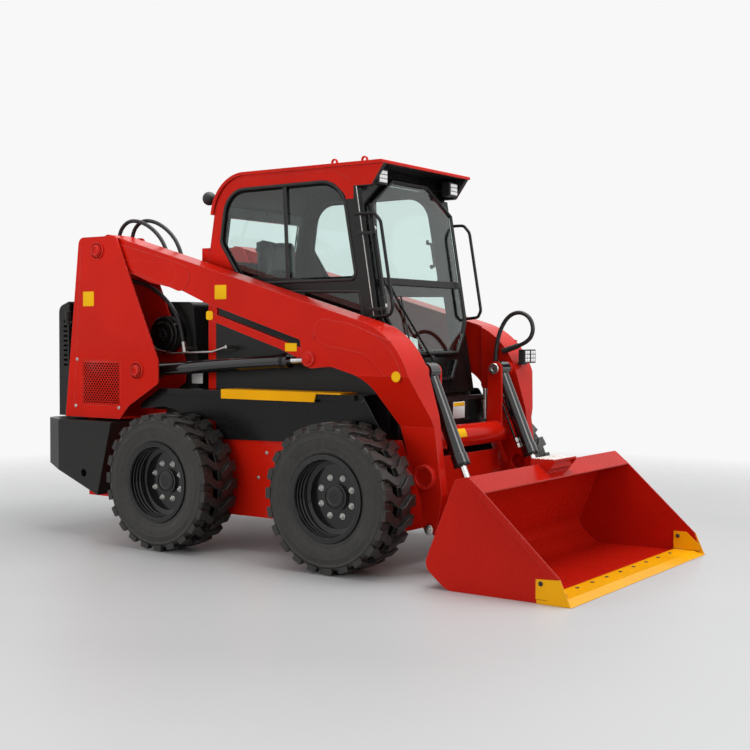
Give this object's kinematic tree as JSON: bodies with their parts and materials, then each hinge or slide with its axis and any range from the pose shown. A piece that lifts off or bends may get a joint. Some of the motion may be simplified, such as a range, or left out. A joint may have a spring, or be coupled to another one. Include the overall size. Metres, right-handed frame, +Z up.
{
  "type": "skid steer loader",
  "caption": "Wheeled skid steer loader with radial lift arms, enclosed cab with front door, hydraulic cylinders and a flat-bottomed bucket resting on the floor.",
  "frame": {"origin": "centre of the bounding box at floor level", "axes": "+X forward towards the bucket, +Y to the machine's left, +Z up"},
  "size_m": [3.7, 1.764, 2.164],
  "materials": {
    "black_paint": "satin",
    "black_plastic": "matt",
    "charcoal_paint": "satin",
    "chrome_rod": "polished",
    "engine_metal": "rough",
    "hose_rubber": "matt",
    "lamp_lens": "clear",
    "red_paint": "gloss powder coat",
    "rim_paint": "satin",
    "seat_cover": "vinyl",
    "tinted_glass": "tinted",
    "tyre_rubber": "moulded",
    "yellow_paint": "gloss",
    "zinc_metal": "zinc plated"
  },
  "bodies": {
    "machine": {"air_cleaner": "black_plastic", "axle_housings": "black_paint", "cab_floor": "black_paint", "cab_front": "black_paint", "cab_glass": "tinted_glass", "cab_rear": "red_paint", "cab_roof": "red_paint", "cab_side_left": "red_paint", "cab_side_right": "red_paint", "controls": "black_plastic", "counterweight": "charcoal_paint", "engine_block": "engine_metal", "fender_left": "black_paint", "fender_right": "black_paint", "front_cover": "charcoal_paint", "grab_handles": "black_paint", "lamps": "lamp_lens", "main_frame": "red_paint", "rear_hood": "charcoal_paint", "seat": "seat_cover", "seat_base": "black_paint", "side_hose": "hose_rubber", "side_pipe": "zinc_metal", "side_steps": "yellow_paint", "tower_grilles": "red_paint", "tower_left": "red_paint", "tower_right": "red_paint"},
    "lift_arm": {"arm_lamp": "black_plastic", "arm_left": "red_paint", "arm_right": "red_paint", "arm_strut": "red_paint", "aux_hose": "hose_rubber", "couplers": "zinc_metal", "cross_tube": "red_paint", "rear_hose_inner": "hose_rubber", "rear_hose_outer": "hose_rubber", "torque_tube": "red_paint"},
    "bucket": {"bucket_shell": "red_paint", "bucket_sides": "red_paint", "coupler": "black_paint", "cutting_edge": "yellow_paint"},
    "lift_barrels": {"lift_barrels": "black_paint"},
    "lift_rods": {"lift_rods": "chrome_rod"},
    "tilt_barrels": {"tilt_barrels": "black_paint"},
    "tilt_rods": {"tilt_rods": "chrome_rod"},
    "front_door": {"door_frame": "black_paint", "door_glass": "tinted_glass"},
    "tailgate": {"rear_door": "charcoal_paint"},
    "wheel_front_left": {"rim_front_left": "rim_paint", "tyre_front_left": "tyre_rubber"},
    "wheel_front_right": {"rim_front_right": "rim_paint", "tyre_front_right": "tyre_rubber"},
    "wheel_rear_left": {"rim_rear_left": "rim_paint", "tyre_rear_left": "tyre_rubber"},
    "wheel_rear_right": {"rim_rear_right": "rim_paint", "tyre_rear_right": "tyre_rubber"}
  },
  "joints": [
    {"name": "wheel_rear_left_spin", "type": "hinge", "parent": "machine", "child": "wheel_rear_left", "pos_m": [-0.68, 0.75, 0.385], "axis": [0, 1, 0], "continuous": true},
    {"name": "wheel_rear_right_spin", "type": "hinge", "parent": "machine", "child": "wheel_rear_right", "pos_m": [-0.68, -0.75, 0.385], "axis": [0, 1, 0], "continuous": true},
    {"name": "wheel_front_left_spin", "type": "hinge", "parent": "machine", "child": "wheel_front_left", "pos_m": [0.503, 0.75, 0.385], "axis": [0, 1, 0], "continuous": true},
    {"name": "wheel_front_right_spin", "type": "hinge", "parent": "machine", "child": "wheel_front_right", "pos_m": [0.503, -0.75, 0.385], "axis": [0, 1, 0], "continuous": true},
    {"name": "lift", "type": "hinge", "parent": "machine", "child": "lift_arm", "pos_m": [-1.337, 0, 1.704], "axis": [0, -1, 0], "range_deg": [0, 60]},
    {"name": "bucket_tilt", "type": "hinge", "parent": "lift_arm", "child": "bucket", "pos_m": [0.905, 0, 0.224], "axis": [0, 1, 0], "range_deg": [-25, 97]},
    {"name": "lift_barrel_turn", "type": "hinge", "parent": "machine", "child": "lift_barrels", "pos_m": [-1.011, 0, 0.997], "axis": [0, -1, 0], "range_deg": [-1, 60]},
    {"name": "lift_rod_slide", "type": "slide", "parent": "lift_barrels", "child": "lift_rods", "axis": [0.9977, 0, 0.068], "range_m": [-0.005, 0.785]},
    {"name": "tilt_barrel_turn", "type": "hinge", "parent": "lift_arm", "child": "tilt_barrels", "pos_m": [0.802, 0, 1.02], "axis": [0, -1, 0], "range_deg": [-8, 4]},
    {"name": "tilt_rod_slide", "type": "slide", "parent": "tilt_barrels", "child": "tilt_rods", "axis": [0.3927, 0, -0.9197], "range_m": [-0.1, 0.36]},
    {"name": "front_door_swing", "type": "hinge", "parent": "machine", "child": "front_door", "pos_m": [0.60581, -0.44, 1.092], "axis": [-0.1676, 0, 0.9859], "range_deg": [-80, 0]},
    {"name": "tailgate_swing", "type": "hinge", "parent": "machine", "child": "tailgate", "pos_m": [-1.758, -0.548, 1], "axis": [0, 0, -1], "range_deg": [-95, 0]}
  ],
  "couplings": [
    {"joint": "lift_barrel_turn", "follows": "lift", "ratio": 0.94154},
    {"joint": "lift_rod_slide", "follows": "lift", "m_per_rad": 0.73762},
    {"joint": "tilt_barrel_turn", "follows": "bucket_tilt", "ratio": -0.058},
    {"joint": "tilt_rod_slide", "follows": "bucket_tilt", "m_per_rad": 0.201}
  ]
}
